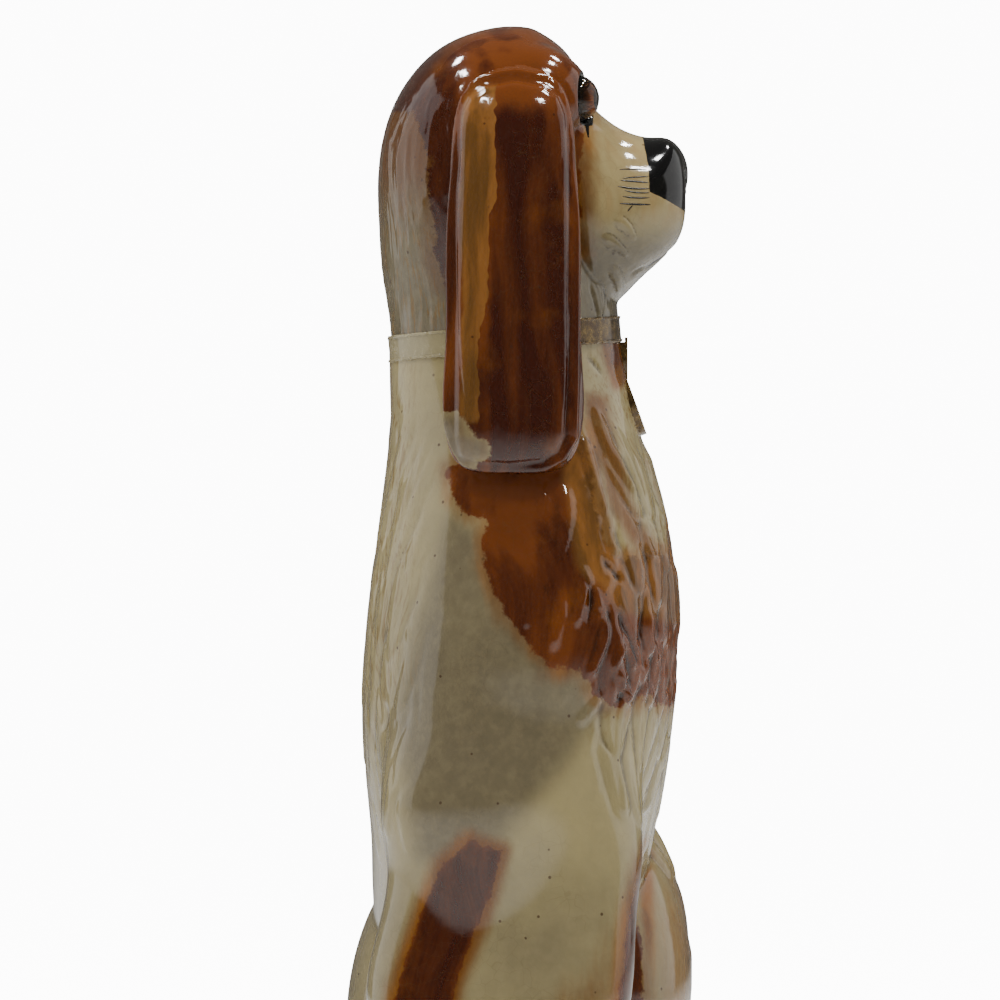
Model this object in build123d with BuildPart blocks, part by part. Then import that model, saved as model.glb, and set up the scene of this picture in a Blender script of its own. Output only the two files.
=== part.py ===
"""Seated glass-eyed spaniel chimney ornament, assembled from clay castings.

The dog sits in profile to the display side, which is -Y, with its head turned to look
out over that side. Its chest faces -X, its rump +X, and it stands on z = 0. The hollow
body and the hollow head are each cast in two halves that meet on one upright parting
plane. A slab with a vent hole closes the body from below. Ears, forelegs, tail, collar
and locket are cast on their own and luted on. The glass eyes sit on plaster beds.
"""

import os
from math import cos, radians, sin

from build123d import *

# Body, in millimetres. The neck is the oval on which the head is luted.
neck_height = 250.0
torso_length = 180.0
torso_depth = 95.0
neck_length = 66.0
neck_depth = 69.8
wall = 5.0
parting_y = 9.0

# Slab that closes the underside, set inside an edge of the wall.
slab_thickness = 6.0
slab_edge = 2.0
vent_diameter = 14.0

# Head over the neck.
head_height = 95.0
head_width = 76.0
head_depth = 63.0

# Muzzle in front of the face, and the nose pad on its tip.
muzzle_length = 31.0
muzzle_height = 62.0
muzzle_width = 54.0
nose_width = 27.0
nose_height = 23.0
nose_length = 16.0
nose_proud = 0.2
nostril_diameter = 4.0
nostril_spread = 11.0
cleft_width = 1.8
cleft_depth = 2.4
cleft_height = 10.0

# Ears, which hang from just under the crown.
ear_length = 126.5
ear_width = 41.0
ear_thickness = 20.0
ear_drop = 11.0
ear_y = 2.1

# Glass eyes in lidded sockets, turned out from straight ahead.
eye_diameter = 14.0
eye_bulge = 5.2
eye_edge = 1.6
eye_spread = 34.0
eye_turn = 10.0
eye_sink = 1.1
lid_width = 2.0
brow_diameter = 35.0
brow_depth = 18.0
pupil_diameter = 7.0
pupil_thickness = 0.8
bed_thickness = 3.0

# Breast that runs down from the chest over the tops of the forelegs.
breast_length = 62.0
breast_width = 76.0
breast_height = 98.0

# Forelegs with their paws.
foreleg_height = 118.0
foreleg_length = 40.0
left_foreleg_width = 56.0
right_foreleg_width = 38.0
forepaw_length = 50.0
forepaw_height = 24.0
forepaw_forward = 11.0

# Haunches with the hind paws. The reverse side is the plainer and lower one.
haunch_height = 112.0
reverse_haunch_height = 92.0
haunch_length = 86.0
haunch_reach = 53.2
haunch_root = 24.0
hind_paw_length = 56.0
hind_paw_width = 26.0
hind_paw_height = 22.0
hind_paw_proud = -2.2

# Grooves between the toes of every paw.
toe_gap_width = 2.4
toe_gap_length = 20.0

# Tail, lying on the ground round the rump.
tail_diameter = 22.0
tail_stand = 3.0

# Collar, highest on the display side.
collar_width = 8.0
collar_proud = 1.6
collar_drop = 0.5
collar_tilt = 5.0

# Locket on the chest, and the loop that hangs it on the collar.
locket_diameter = 19.0
locket_proud = 1.6
locket_sink = 1.4
locket_depth = 9.0
locket_drop = 21.0
locket_tilt = 20.0
loop_width = 6.0
loop_length = 13.0
loop_wire = 1.4
loop_proud = 1.0

# Places along the torso, over its length, and across it, over its depth.
vent_x_share = 0.267
breast_x_share = -0.322
breast_y_share = 0.032
left_foreleg_x_share = -0.389
left_foreleg_y_share = -0.084
right_foreleg_x_share = -0.333
right_foreleg_y_share = 0.305
haunch_x_share = 0.128
hind_paw_x_share = -0.044
neck_x_share = -0.156
neck_y_share = 0.049

# Height of the middle of the breast, over the neck height.
breast_rise_share = 0.448

# Places up the head, over its height, and how far forward its face lies.
muzzle_rise_share = 0.432
eye_rise_share = 0.762
face_share = 0.317
forepaw_width_share = 0.80
toe_spread_share = 0.25

# Height, x centre, half length, y centre and half depth of each level of the torso, as
# shares of the neck height, torso length and torso depth.
torso_shares = [
    (0.000, 0.150, 0.350, 0.010, 0.430),
    (0.100, 0.158, 0.358, 0.020, 0.435),
    (0.200, 0.146, 0.360, 0.030, 0.435),
    (0.290, 0.112, 0.364, 0.036, 0.440),
    (0.345, 0.068, 0.386, 0.034, 0.446),
    (0.400, 0.012, 0.416, 0.026, 0.456),
    (0.476, -0.050, 0.416, 0.016, 0.482),
    (0.572, -0.104, 0.386, 0.003, 0.498),
    (0.680, -0.141, 0.336, -0.009, 0.490),
    (0.804, -0.158, 0.269, -0.003, 0.443),
    (0.900, -0.156, 0.216, 0.022, 0.394),
]

# Height over the neck, half width, y centre and half depth of each level of the skull,
# as shares of the head's height, width and depth.
skull_shares = [
    (0.126, 0.450, 0.092, 0.556),
    (0.284, 0.482, 0.148, 0.530),
    (0.442, 0.500, 0.186, 0.502),
    (0.610, 0.500, 0.180, 0.489),
    (0.768, 0.468, 0.143, 0.452),
    (0.860, 0.398, 0.112, 0.390),
    (0.930, 0.292, 0.090, 0.294),
    (0.978, 0.158, 0.066, 0.168),
]
crown_y_share = 0.055

# Reach forward of the face, half width, half height and rise of each level of the
# muzzle, as shares of its length, width and height.
muzzle_shares = [
    (-0.320, 0.520, 0.530, -0.010),
    (0.110, 0.490, 0.500, -0.042),
    (0.420, 0.415, 0.390, -0.042),
    (0.590, 0.380, 0.335, -0.012),
    (0.790, 0.318, 0.280, 0.026),
    (0.910, 0.245, 0.228, 0.047),
    (0.980, 0.140, 0.120, 0.056),
]
muzzle_tip_share = 0.056
nose_rise_share = 0.142
cleft_rise_share = -0.140

# Height over the ear's tip, stand-off from the middle of the head, half thickness and
# half width of each level of an ear, as shares of its length, half the head's width,
# its thickness and its width.
ear_shares = [
    (0.010, 1.230, 0.200, 0.265),
    (0.036, 1.240, 0.340, 0.420),
    (0.090, 1.230, 0.420, 0.492),
    (0.310, 1.140, 0.480, 0.502),
    (0.570, 1.060, 0.480, 0.498),
    (0.723, 1.000, 0.480, 0.470),
    (0.860, 0.910, 0.470, 0.436),
    (0.918, 0.830, 0.430, 0.388),
    (0.962, 0.730, 0.350, 0.290),
    (0.988, 0.640, 0.220, 0.160),
]
ear_top_share = 0.590
ear_foot_share = 1.200

# Height, x drift, y drift, half length and half width of each level of a foreleg, as
# shares of its height, length and width.
foreleg_shares = [
    (0.000, -0.100, 0.000, 0.450, 0.400),
    (0.127, -0.100, 0.000, 0.470, 0.410),
    (0.254, -0.075, 0.000, 0.450, 0.420),
    (0.466, -0.025, 0.000, 0.460, 0.500),
    (0.636, 0.050, -0.070, 0.475, 0.440),
    (0.805, 0.150, -0.143, 0.500, 0.410),
    (0.930, 0.250, -0.150, 0.440, 0.330),
]
foreleg_top_shares = (0.320, -0.150)

# Height, x drift, half length and bulge of each level of a haunch, as shares of its
# height, length and reach beyond its root.
haunch_shares = [
    (0.000, 0.080, 0.440, 0.840),
    (0.250, 0.040, 0.475, 0.930),
    (0.500, 0.000, 0.500, 1.000),
    (0.700, 0.045, 0.455, 0.885),
    (0.840, 0.090, 0.370, 0.700),
    (0.950, 0.145, 0.200, 0.390),
]
haunch_top_share = 0.170

# Height, half length and half width of each level of a paw, as shares of its sizes.
paw_shares = [
    (0.000, 0.470, 0.460),
    (0.280, 0.500, 0.500),
    (0.580, 0.470, 0.470),
    (0.820, 0.370, 0.370),
    (0.960, 0.190, 0.200),
]

# Turn round the rump of each ring of the tail, in degrees from +X, and its radius as a
# share of the tail's.
tail_turns = [34.0, 14.0, -6.0, -26.0, -46.0, -62.0]
tail_radius_shares = [0.60, 0.90, 1.00, 1.00, 0.85, 0.55]
tail_end_turns = (44.0, -72.0)

# Turn of each ring of an egg-shaped form, in degrees over its middle.
egg_turns = [-70.0, -45.0, -20.0, 0.0, 20.0, 45.0, 70.0]

# Depth behind an eye's rim, and growth from the rim's radius to the brow's, of each level
# of the flesh round the eye, as shares of the brow's depth and of that growth.
brow_shares = [
    (0.00, 0.00),
    (0.20, 0.40),
    (0.50, 0.77),
    (1.00, 1.00),
]

# Places that several pieces share.
neck_x = neck_x_share * torso_length
neck_y = neck_y_share * torso_depth
ear_stand = head_width / 2
ear_top_height = neck_height + head_height - ear_drop
ear_tip_height = ear_top_height - ear_length
face_y = -face_share * head_depth
muzzle_centre_height = neck_height + muzzle_rise_share * head_height
muzzle_tip_y = face_y - muzzle_length
nose_y = muzzle_tip_y - nose_proud + nose_length / 2
nose_centre_height = muzzle_centre_height + nose_rise_share * muzzle_height
eye_height = neck_height + eye_rise_share * head_height
eye_y = face_y + eye_sink
eye_ball_radius = (eye_diameter**2 / 4 + eye_bulge**2) / (2 * eye_bulge)
haunch_x = haunch_x_share * torso_length
haunch_bulge = haunch_reach - haunch_root
hind_paw_x = hind_paw_x_share * torso_length
hind_paw_y = haunch_reach + hind_paw_proud - hind_paw_width / 2
parting = Plane.XZ.offset(-parting_y)


def oval(plane, x, y, half_x, half_y):
    """One oval level of a modelled form, lying on its plane."""
    with BuildSketch(plane) as level:
        with Locations((x, y)):
            Ellipse(half_x, half_y)
    return level.sketch.face()


def modelled(sections):
    """A form lofted smoothly through its levels, closed on points where it has them."""
    with BuildPart() as form:
        loft(sections=sections)
    return form.part


def neck_level(inset):
    """The oval on which head and body meet, taken in by a wall."""
    plane = Plane.XY.offset(neck_height)
    return oval(plane, neck_x, neck_y, neck_length / 2 - inset, neck_depth / 2 - inset)


def torso(inset=0):
    """The torso from the ground to the neck."""
    levels = [
        oval(
            Plane.XY.offset(height * neck_height),
            x * torso_length,
            y * torso_depth,
            half_x * torso_length - inset,
            half_y * torso_depth - inset,
        )
        for height, x, half_x, y, half_y in torso_shares
    ]
    return modelled([*levels, neck_level(inset)])


def skull(inset=0):
    """The head without its muzzle, from the neck to the crown."""
    room = head_height - inset
    widest = max(half_x for _, half_x, _, _ in skull_shares)
    levels = [
        oval(
            Plane.XY.offset(neck_height + height * room),
            neck_x,
            y * head_depth,
            half_x * (head_width - inset / widest),
            half_y * (head_depth - inset / widest),
        )
        for height, half_x, y, half_y in skull_shares
    ]
    crown = Vertex(neck_x, crown_y_share * head_depth, neck_height + room)
    return modelled([neck_level(inset), *levels, crown])


def muzzle(inset=0):
    """Cheeks and muzzle, lofted forward from inside the face."""
    room = muzzle_length - inset
    widest = muzzle_shares[0][1]
    levels = [
        oval(
            Plane.XZ.offset(reach * room - face_y),
            neck_x,
            muzzle_centre_height + rise * muzzle_height,
            half_x * (muzzle_width - inset / widest),
            half_z * (muzzle_height - inset / widest),
        )
        for reach, half_x, half_z, rise in muzzle_shares
    ]
    tip_height = muzzle_centre_height + muzzle_tip_share * muzzle_height
    return modelled([*levels, Vertex(neck_x, face_y - room, tip_height)])


def egg(x, y, z, length, width, height):
    """An egg-shaped form, of oval rings round an upright line through its middle."""
    levels = [
        oval(
            Plane.XY.offset(z + sin(radians(turn)) * height / 2),
            x,
            y,
            cos(radians(turn)) * length / 2,
            cos(radians(turn)) * width / 2,
        )
        for turn in egg_turns
    ]
    return modelled([Vertex(x, y, z - height / 2), *levels, Vertex(x, y, z + height / 2)])


def ear(side):
    """A long ear that hangs from the top of the head on to the chest."""
    levels = [
        oval(
            Plane.XY.offset(ear_tip_height + height * ear_length),
            neck_x + side * stand * ear_stand,
            ear_y,
            half_x * ear_thickness,
            half_y * ear_width,
        )
        for height, stand, half_x, half_y in ear_shares
    ]
    foot = Vertex(neck_x + side * ear_foot_share * ear_stand, ear_y, ear_tip_height)
    top = Vertex(neck_x + side * ear_top_share * ear_stand, ear_y, ear_top_height)
    return modelled([foot, *levels, top])


def paw(x, y, length, width, height):
    """A paw that stands flat on the ground, parted into toes at its front."""
    levels = [
        oval(Plane.XY.offset(z * height), x, y, half_x * length, half_y * width)
        for z, half_x, half_y in paw_shares
    ]
    with BuildPart() as form:
        loft(sections=[*levels, Vertex(x, y, height)])
        with BuildSketch():
            with Locations([(x - length / 2, y + side * toe_spread_share * width) for side in (-1, 0, 1)]):
                Ellipse(toe_gap_length / 2, toe_gap_width / 2)
        extrude(amount=height, mode=Mode.SUBTRACT)
    return form.part


def foreleg(x, y, width):
    """A foreleg from its paw up into the chest."""
    levels = [
        oval(
            Plane.XY.offset(height * foreleg_height),
            x + drift_x * foreleg_length,
            y + drift_y * width,
            half_x * foreleg_length,
            half_y * width,
        )
        for height, drift_x, drift_y, half_x, half_y in foreleg_shares
    ]
    top_x, top_y = foreleg_top_shares
    top = Vertex(x + top_x * foreleg_length, y + top_y * width, foreleg_height)
    with BuildPart() as form:
        loft(sections=[*levels, top])
        add(paw(x - forepaw_forward, y, forepaw_length, forepaw_width_share * width, forepaw_height))
    return form.part


def haunch(side, height, inset=0):
    """The thigh that bulges from one side of the body, taken in by a wall."""
    rise = height - 2 * inset
    levels = [
        oval(
            Plane.XY.offset(inset + share * rise),
            haunch_x + drift * haunch_length,
            side * haunch_root,
            half_x * (haunch_length - 2 * inset),
            bulge * (haunch_bulge - inset),
        )
        for share, drift, half_x, bulge in haunch_shares
    ]
    top = Vertex(haunch_x + haunch_top_share * haunch_length, side * haunch_root, inset + rise)
    return modelled([*levels, top])


def tail_place(turn):
    """A point of the tail's core beside the foot of the rump, and its way there."""
    _, x, half_x, y, half_y = torso_shares[0]
    round_x = half_x * torso_length + tail_stand
    round_y = half_y * torso_depth + tail_stand
    angle = radians(turn)
    place = Vector(
        x * torso_length + round_x * cos(angle),
        y * torso_depth + round_y * sin(angle),
        tail_diameter / 2,
    )
    return place, Vector(round_x * sin(angle), -round_y * cos(angle), 0)


def tail_rings():
    """The tail, round rings along an oval path that follows the rump."""
    rings = []
    for turn, share in zip(tail_turns, tail_radius_shares):
        place, way = tail_place(turn)
        radius = share * tail_diameter / 2
        rings.append(oval(Plane(place, z_dir=way), 0, 0, radius, radius))
    root, tip = [Vertex(*tail_place(turn)[0]) for turn in tail_end_turns]
    return modelled([root, *rings, tip])


def eye_plane(side):
    """The plane of an eye's rim, which looks forward and a little outward."""
    turn = radians(eye_turn)
    rim = (neck_x + side * eye_spread / 2, eye_y, eye_height)
    along = (cos(turn), side * sin(turn), 0)
    return Plane(rim, x_dir=along, z_dir=(side * sin(turn), -cos(turn), 0))


def brow(side):
    """The flesh round an eye, which falls away from the rim of its lid."""
    rim_radius = eye_diameter / 2 + lid_width
    growth = brow_diameter / 2 - rim_radius
    levels = []
    for depth, share in brow_shares:
        radius = rim_radius + share * growth
        levels.append(oval(eye_plane(side).offset(-depth * brow_depth), 0, 0, radius, radius))
    return modelled(levels)


# Outer forms, which the pieces are cut from or fitted to.
breast_place = (breast_x_share * torso_length, breast_y_share * torso_depth, breast_rise_share * neck_height)
torso_form = torso()
breast_form = egg(*breast_place, breast_length, breast_width, breast_height)
nose_form = egg(neck_x, nose_y, nose_centre_height, nose_width, nose_length, nose_height)
brows = [brow(side) for side in (-1, 1)]
skull_form = skull()
muzzle_form = muzzle()
left_haunch = haunch(-1, haunch_height)
right_haunch = haunch(1, reverse_haunch_height)
hind_paw_sizes = (hind_paw_length, hind_paw_width, hind_paw_height)
left_hind_paw = paw(hind_paw_x, -hind_paw_y, *hind_paw_sizes)
right_hind_paw = paw(hind_paw_x, hind_paw_y, *hind_paw_sizes)

# Seat for the slab in the foot of the hollow body.
_, slab_x, slab_half_x, slab_y, slab_half_y = torso_shares[0]
with BuildPart() as slab_seat:
    with BuildSketch():
        with Locations((slab_x * torso_length, slab_y * torso_depth)):
            Ellipse(slab_half_x * torso_length - slab_edge, slab_half_y * torso_depth - slab_edge)
    extrude(amount=slab_thickness)

# Closing slab, with its vent.
with BuildPart() as base_slab:
    add(slab_seat.part)
    with BuildSketch():
        with Locations((vent_x_share * torso_length, 0)):
            Circle(vent_diameter / 2)
    extrude(amount=slab_thickness, mode=Mode.SUBTRACT)

# Hollow body with its breast, haunches and hind paws, before it is parted into halves.
with BuildPart() as hollow_body:
    add([torso_form, breast_form, left_haunch, right_haunch, left_hind_paw, right_hind_paw])
    add(torso(wall), mode=Mode.SUBTRACT)
    add(haunch(-1, haunch_height, wall), mode=Mode.SUBTRACT)
    add(haunch(1, reverse_haunch_height, wall), mode=Mode.SUBTRACT)
    add(slab_seat.part, mode=Mode.SUBTRACT)

with BuildPart() as body_front_half:
    add(hollow_body.part)
    split(bisect_by=parting, keep=Keep.TOP)

with BuildPart() as body_back_half:
    add(hollow_body.part)
    split(bisect_by=parting, keep=Keep.BOTTOM)

# Display-side half of the head, with muzzle, nose pad, brows and eye sockets.
with BuildPart() as head_front_half:
    add([skull_form, muzzle_form, nose_form, *brows])
    with BuildSketch(Plane.XY.offset(muzzle_centre_height + cleft_rise_share * muzzle_height)):
        with Locations((neck_x, muzzle_tip_y)):
            Ellipse(cleft_width / 2, cleft_depth)
    extrude(amount=cleft_height, mode=Mode.SUBTRACT)
    with Locations([(neck_x + side * nostril_spread / 2, muzzle_tip_y, nose_centre_height) for side in (-1, 1)]):
        Sphere(nostril_diameter / 2, mode=Mode.SUBTRACT)
    add([skull(wall), muzzle(wall)], mode=Mode.SUBTRACT)
    for side in (-1, 1):
        with BuildSketch(eye_plane(side).offset(-eye_edge - bed_thickness)):
            Circle(eye_diameter / 2)
        extrude(amount=eye_edge + bed_thickness + eye_bulge, mode=Mode.SUBTRACT)
    split(bisect_by=parting, keep=Keep.TOP)

# Reverse half of the head.
with BuildPart() as head_back_half:
    add(skull_form)
    add(skull(wall), mode=Mode.SUBTRACT)
    split(bisect_by=parting, keep=Keep.BOTTOM)

# Collar, a band round the neck over the joint of head and body.
collar_way = (0, sin(radians(collar_tilt)), cos(radians(collar_tilt)))
collar_plane = Plane((neck_x, neck_y, neck_height - collar_drop), x_dir=(1, 0, 0), z_dir=collar_way)
with BuildPart() as collar:
    with BuildSketch(collar_plane):
        Ellipse(neck_length / 2 + collar_proud, neck_depth / 2 + collar_proud)
    extrude(amount=collar_width / 2, both=True)
    add([torso_form, skull_form, muzzle_form], mode=Mode.SUBTRACT)

# Locket, a round plaque on the chest, hung on the collar by an oval loop.
_, _, _, chest_y, chest_half_y = torso_shares[-1]
locket_y = (chest_y - chest_half_y) * torso_depth + locket_sink
locket_height = neck_height - locket_drop
locket_way = (0, -cos(radians(locket_tilt)), sin(radians(locket_tilt)))
locket_plane = Plane((neck_x, locket_y, locket_height), x_dir=(1, 0, 0), z_dir=locket_way)
loop_y = neck_y - neck_depth / 2 - loop_proud
loop_height = locket_height + (locket_diameter + loop_length) / 2 - loop_wire
loop_plane = Plane((neck_x, loop_y, loop_height), x_dir=(1, 0, 0), z_dir=(0, -1, 0))
with BuildPart() as locket:
    with BuildSketch(locket_plane.offset(-locket_depth)):
        Circle(locket_diameter / 2)
    extrude(amount=locket_depth + locket_proud)
    with BuildSketch(loop_plane.offset(-locket_depth)):
        Ellipse(loop_width / 2, loop_length / 2)
        Ellipse(loop_width / 2 - loop_wire, loop_length / 2 - loop_wire, mode=Mode.SUBTRACT)
    extrude(amount=locket_depth + locket_proud)
    add([torso_form, skull_form, collar.part], mode=Mode.SUBTRACT)

# Ears, luted to head, collar and chest.
ears = {}
for name, side in (("left_ear", 1), ("right_ear", -1)):
    with BuildPart() as ears[name]:
        add(ear(side))
        add([skull_form, torso_form, muzzle_form, *brows, collar.part], mode=Mode.SUBTRACT)

# Forelegs, luted under the chest.
left_foreleg_place = (left_foreleg_x_share * torso_length, left_foreleg_y_share * torso_depth)
right_foreleg_place = (right_foreleg_x_share * torso_length, right_foreleg_y_share * torso_depth)
with BuildPart() as left_foreleg:
    add(foreleg(*left_foreleg_place, left_foreleg_width))
    add([torso_form, breast_form, left_hind_paw], mode=Mode.SUBTRACT)

with BuildPart() as right_foreleg:
    add(foreleg(*right_foreleg_place, right_foreleg_width))
    add([torso_form, breast_form, right_hind_paw, left_foreleg.part], mode=Mode.SUBTRACT)

# Tail, luted along the rump and cut flat where it lies on the ground.
with BuildPart() as tail:
    add(tail_rings())
    add([torso_form, left_haunch, right_haunch], mode=Mode.SUBTRACT)
    split(bisect_by=Plane.XY, keep=Keep.TOP)

# Eyes: a domed glass with a black pupil in its flat back, on a bed of plaster.
eyes = {}
for name, side in (("left", 1), ("right", -1)):
    rim = eye_plane(side)
    back = rim.offset(-eye_edge)
    with BuildPart() as eyes[f"{name}_eye_pupil"]:
        with BuildSketch(back):
            Circle(pupil_diameter / 2)
        extrude(amount=pupil_thickness)
    with BuildPart() as eyes[f"{name}_eye_glass"]:
        with BuildSketch(back):
            Circle(eye_diameter / 2)
        extrude(amount=eye_edge + eye_bulge)
        with Locations(rim.offset(eye_bulge - eye_ball_radius)):
            Sphere(eye_ball_radius, mode=Mode.INTERSECT)
        add(eyes[f"{name}_eye_pupil"].part, mode=Mode.SUBTRACT)
    with BuildPart() as eyes[f"{name}_eye_bed"]:
        with BuildSketch(back.offset(-bed_thickness)):
            Circle(eye_diameter / 2)
        extrude(amount=bed_thickness)

pieces = {
    "body_front_half": body_front_half,
    "body_back_half": body_back_half,
    "base_slab": base_slab,
    "head_front_half": head_front_half,
    "head_back_half": head_back_half,
    "collar": collar,
    "locket": locket,
    "left_foreleg": left_foreleg,
    "right_foreleg": right_foreleg,
    "tail": tail,
    **ears,
    **eyes,
}

os.makedirs("parts", exist_ok=True)
for name, piece in pieces.items():
    piece.part.label = name
    export_step(piece.part, f"parts/{name}.step")
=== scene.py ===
"""Seated glass-eyed spaniel in glazed earthenware, seen from its chest end.

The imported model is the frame. Skins are cast over its forms, softened as clay under a
thick glaze is, then carved with fur and painted. Lengths are millimetres until a mesh
is stored, when MM brings them to metres.
"""

from math import pi

import bmesh
import bpy
import numpy as np
from mathutils import Matrix, Vector
from mathutils.bvhtree import BVHTree


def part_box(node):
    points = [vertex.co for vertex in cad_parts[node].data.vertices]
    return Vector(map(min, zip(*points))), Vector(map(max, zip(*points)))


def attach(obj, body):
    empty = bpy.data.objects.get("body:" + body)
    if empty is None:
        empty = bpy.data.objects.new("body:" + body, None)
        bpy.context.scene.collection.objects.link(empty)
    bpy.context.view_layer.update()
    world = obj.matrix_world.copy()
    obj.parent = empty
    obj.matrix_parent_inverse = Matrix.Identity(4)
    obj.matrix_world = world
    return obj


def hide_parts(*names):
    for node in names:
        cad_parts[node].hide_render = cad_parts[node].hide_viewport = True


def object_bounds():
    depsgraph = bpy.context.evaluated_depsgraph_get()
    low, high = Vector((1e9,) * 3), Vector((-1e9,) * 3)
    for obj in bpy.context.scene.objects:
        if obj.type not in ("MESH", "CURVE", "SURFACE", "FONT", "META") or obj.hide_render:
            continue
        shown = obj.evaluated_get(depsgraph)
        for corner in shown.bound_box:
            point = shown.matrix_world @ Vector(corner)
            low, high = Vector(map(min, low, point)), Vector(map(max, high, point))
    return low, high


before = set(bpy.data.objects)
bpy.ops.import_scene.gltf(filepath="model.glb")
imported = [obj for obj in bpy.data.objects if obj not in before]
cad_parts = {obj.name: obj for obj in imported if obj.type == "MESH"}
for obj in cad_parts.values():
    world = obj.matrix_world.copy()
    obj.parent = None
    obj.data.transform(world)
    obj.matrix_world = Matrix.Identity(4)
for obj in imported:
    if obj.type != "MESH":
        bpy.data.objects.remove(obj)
cad_low, cad_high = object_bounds()

MM = 0.001
rng = np.random.default_rng(1880)


def corners(node):
    """Lowest and highest corner of a CAD node, in millimetres."""
    low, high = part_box(node)
    return np.array(low) / MM, np.array(high) / MM


# Places read from the frame.
skull_low, skull_high = corners("head_back_half")
collar_low, collar_high = corners("collar")
neck_height = skull_low[2]
crown_height = skull_high[2]
head_x = (skull_low[0] + skull_high[0]) / 2
parting_y = skull_low[1]


# Noise and easing.
CELLS = 32
NOISE = rng.random((CELLS, CELLS, CELLS))
TURN = np.array(Matrix.Rotation(0.7, 3, "X") @ Matrix.Rotation(0.5, 3, "Y") @ Matrix.Rotation(0.9, 3, "Z"))


def lattice(points, size):
    """Smooth noise from 0 to 1: random values on a turned cubic lattice of the given pitch, eased between."""
    p = np.asarray(points, float) @ TURN / size
    base = np.floor(p)
    f = p - base
    f = f * f * (3 - 2 * f)
    i = base.astype(int) % CELLS
    j = (i + 1) % CELLS
    total = 0
    for a in (0, 1):
        for b in (0, 1):
            for c in (0, 1):
                ia = (j if a else i)[:, 0]
                ib = (j if b else i)[:, 1]
                ic = (j if c else i)[:, 2]
                wa = f[:, 0] if a else 1 - f[:, 0]
                wb = f[:, 1] if b else 1 - f[:, 1]
                wc = f[:, 2] if c else 1 - f[:, 2]
                total = total + NOISE[ia, ib, ic] * wa * wb * wc
    return total


def ease(value, start, end):
    """0 before start, 1 after end, an S curve between. Start may be above end."""
    t = np.clip((value - start) / (end - start), 0, 1)
    return t * t * (3 - 2 * t)


# Casting skins from the frame's forms.
def placed(name, data):
    """A new object in the scene."""
    obj = bpy.data.objects.new(name, data)
    bpy.context.scene.collection.objects.link(obj)
    return obj


def joined(nodes, plugs=()):
    """One loose mesh from copies of CAD nodes, with oval plugs that close their hollows."""
    bm = bmesh.new()
    for node in nodes:
        bm.from_mesh(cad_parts[node].data)
    bmesh.ops.remove_doubles(bm, verts=bm.verts, dist=1e-6)
    for shape, *sizes in plugs:
        middle = Matrix.Translation(Vector(sizes[:3]) * MM)
        place = middle @ Matrix.Diagonal((*(size * MM for size in sizes[3:]), 1))
        if shape == "disc":
            bmesh.ops.create_cone(bm, cap_ends=True, segments=48, radius1=1, radius2=1, depth=1, matrix=place)
        else:
            bmesh.ops.create_uvsphere(bm, u_segments=64, v_segments=32, radius=1, matrix=place)
    mesh = bpy.data.meshes.new("clay")
    bm.to_mesh(mesh)
    bm.free()
    return mesh


def skin(nodes, plugs, grain):
    """The outer skin of the joined forms, remeshed evenly. Returns points and quads."""
    obj = placed("clay", joined(nodes, plugs))
    remesh = obj.modifiers.new("grain", "REMESH")
    remesh.mode = "VOXEL"
    remesh.voxel_size = grain * MM
    graph = bpy.context.evaluated_depsgraph_get()
    mesh = bpy.data.meshes.new_from_object(obj.evaluated_get(graph))
    bpy.data.objects.remove(obj)
    points = np.empty(len(mesh.vertices) * 3)
    mesh.vertices.foreach_get("co", points)
    points = points.reshape(-1, 3) / MM
    quads = np.empty(len(mesh.loops), int)
    mesh.loops.foreach_get("vertex_index", quads)
    bpy.data.meshes.remove(mesh)
    return points, quads.reshape(-1, 4)


def outer_only(points, quads):
    """Keep the island that holds the highest point, by spreading its number over the edges."""
    label = np.arange(len(points))
    while True:
        low = label[quads].min(axis=1)
        new = label.copy()
        np.minimum.at(new, quads.ravel(), np.repeat(low, 4))
        new = new[new]
        if (new == label).all():
            break
        label = new
    keep = label == label[points[:, 2].argmax()]
    number = np.cumsum(keep) - 1
    return points[keep], number[quads[keep[quads[:, 0]]]]


def facing(points, quads):
    """Unit normals at the points: the cross product of each quad's diagonals, summed at its corners."""
    a, b, c, d = (points[quads[:, k]] for k in range(4))
    across = np.repeat(np.cross(c - a, d - b), 4, axis=0)
    total = np.stack([np.bincount(quads.ravel(), across[:, k], len(points)) for k in range(3)], 1)
    return total / np.maximum(np.linalg.norm(total, axis=1), 1e-12)[:, None]


def around(values, quads, count):
    """Mean over the quads that meet at each point."""
    spread = np.repeat(values[quads].mean(axis=1), 4, axis=0)
    sums = [np.bincount(quads.ravel(), spread[:, k], len(values)) for k in range(3)]
    return np.stack(sums, 1) / count[:, None]


# Shares of the way that a point moves: smoothing, swelling back, and glaze that gathers in a crease.
SMOOTHING = 0.62
SWELLING = 0.64
GATHERING = 0.8


def soften(points, quads, rounds):
    """Smooth towards the mean of the surrounding quads and partly back, so that forms keep their size."""
    count = np.bincount(quads.ravel(), minlength=len(points))
    for _ in range(rounds):
        points = points + SMOOTHING * (around(points, quads, count) - points)
        points = points - SWELLING * (around(points, quads, count) - points)
    return points


def fill(points, quads, rounds):
    """Let glaze gather in the creases: points move only outward, towards the mean of their surroundings."""
    count = np.bincount(quads.ravel(), minlength=len(points))
    for _ in range(rounds):
        pull = around(points, quads, count) - points
        outward = (pull * facing(points, quads)).sum(axis=1)
        points = points + pull * (outward > 0)[:, None] * GATHERING
    return points


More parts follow.
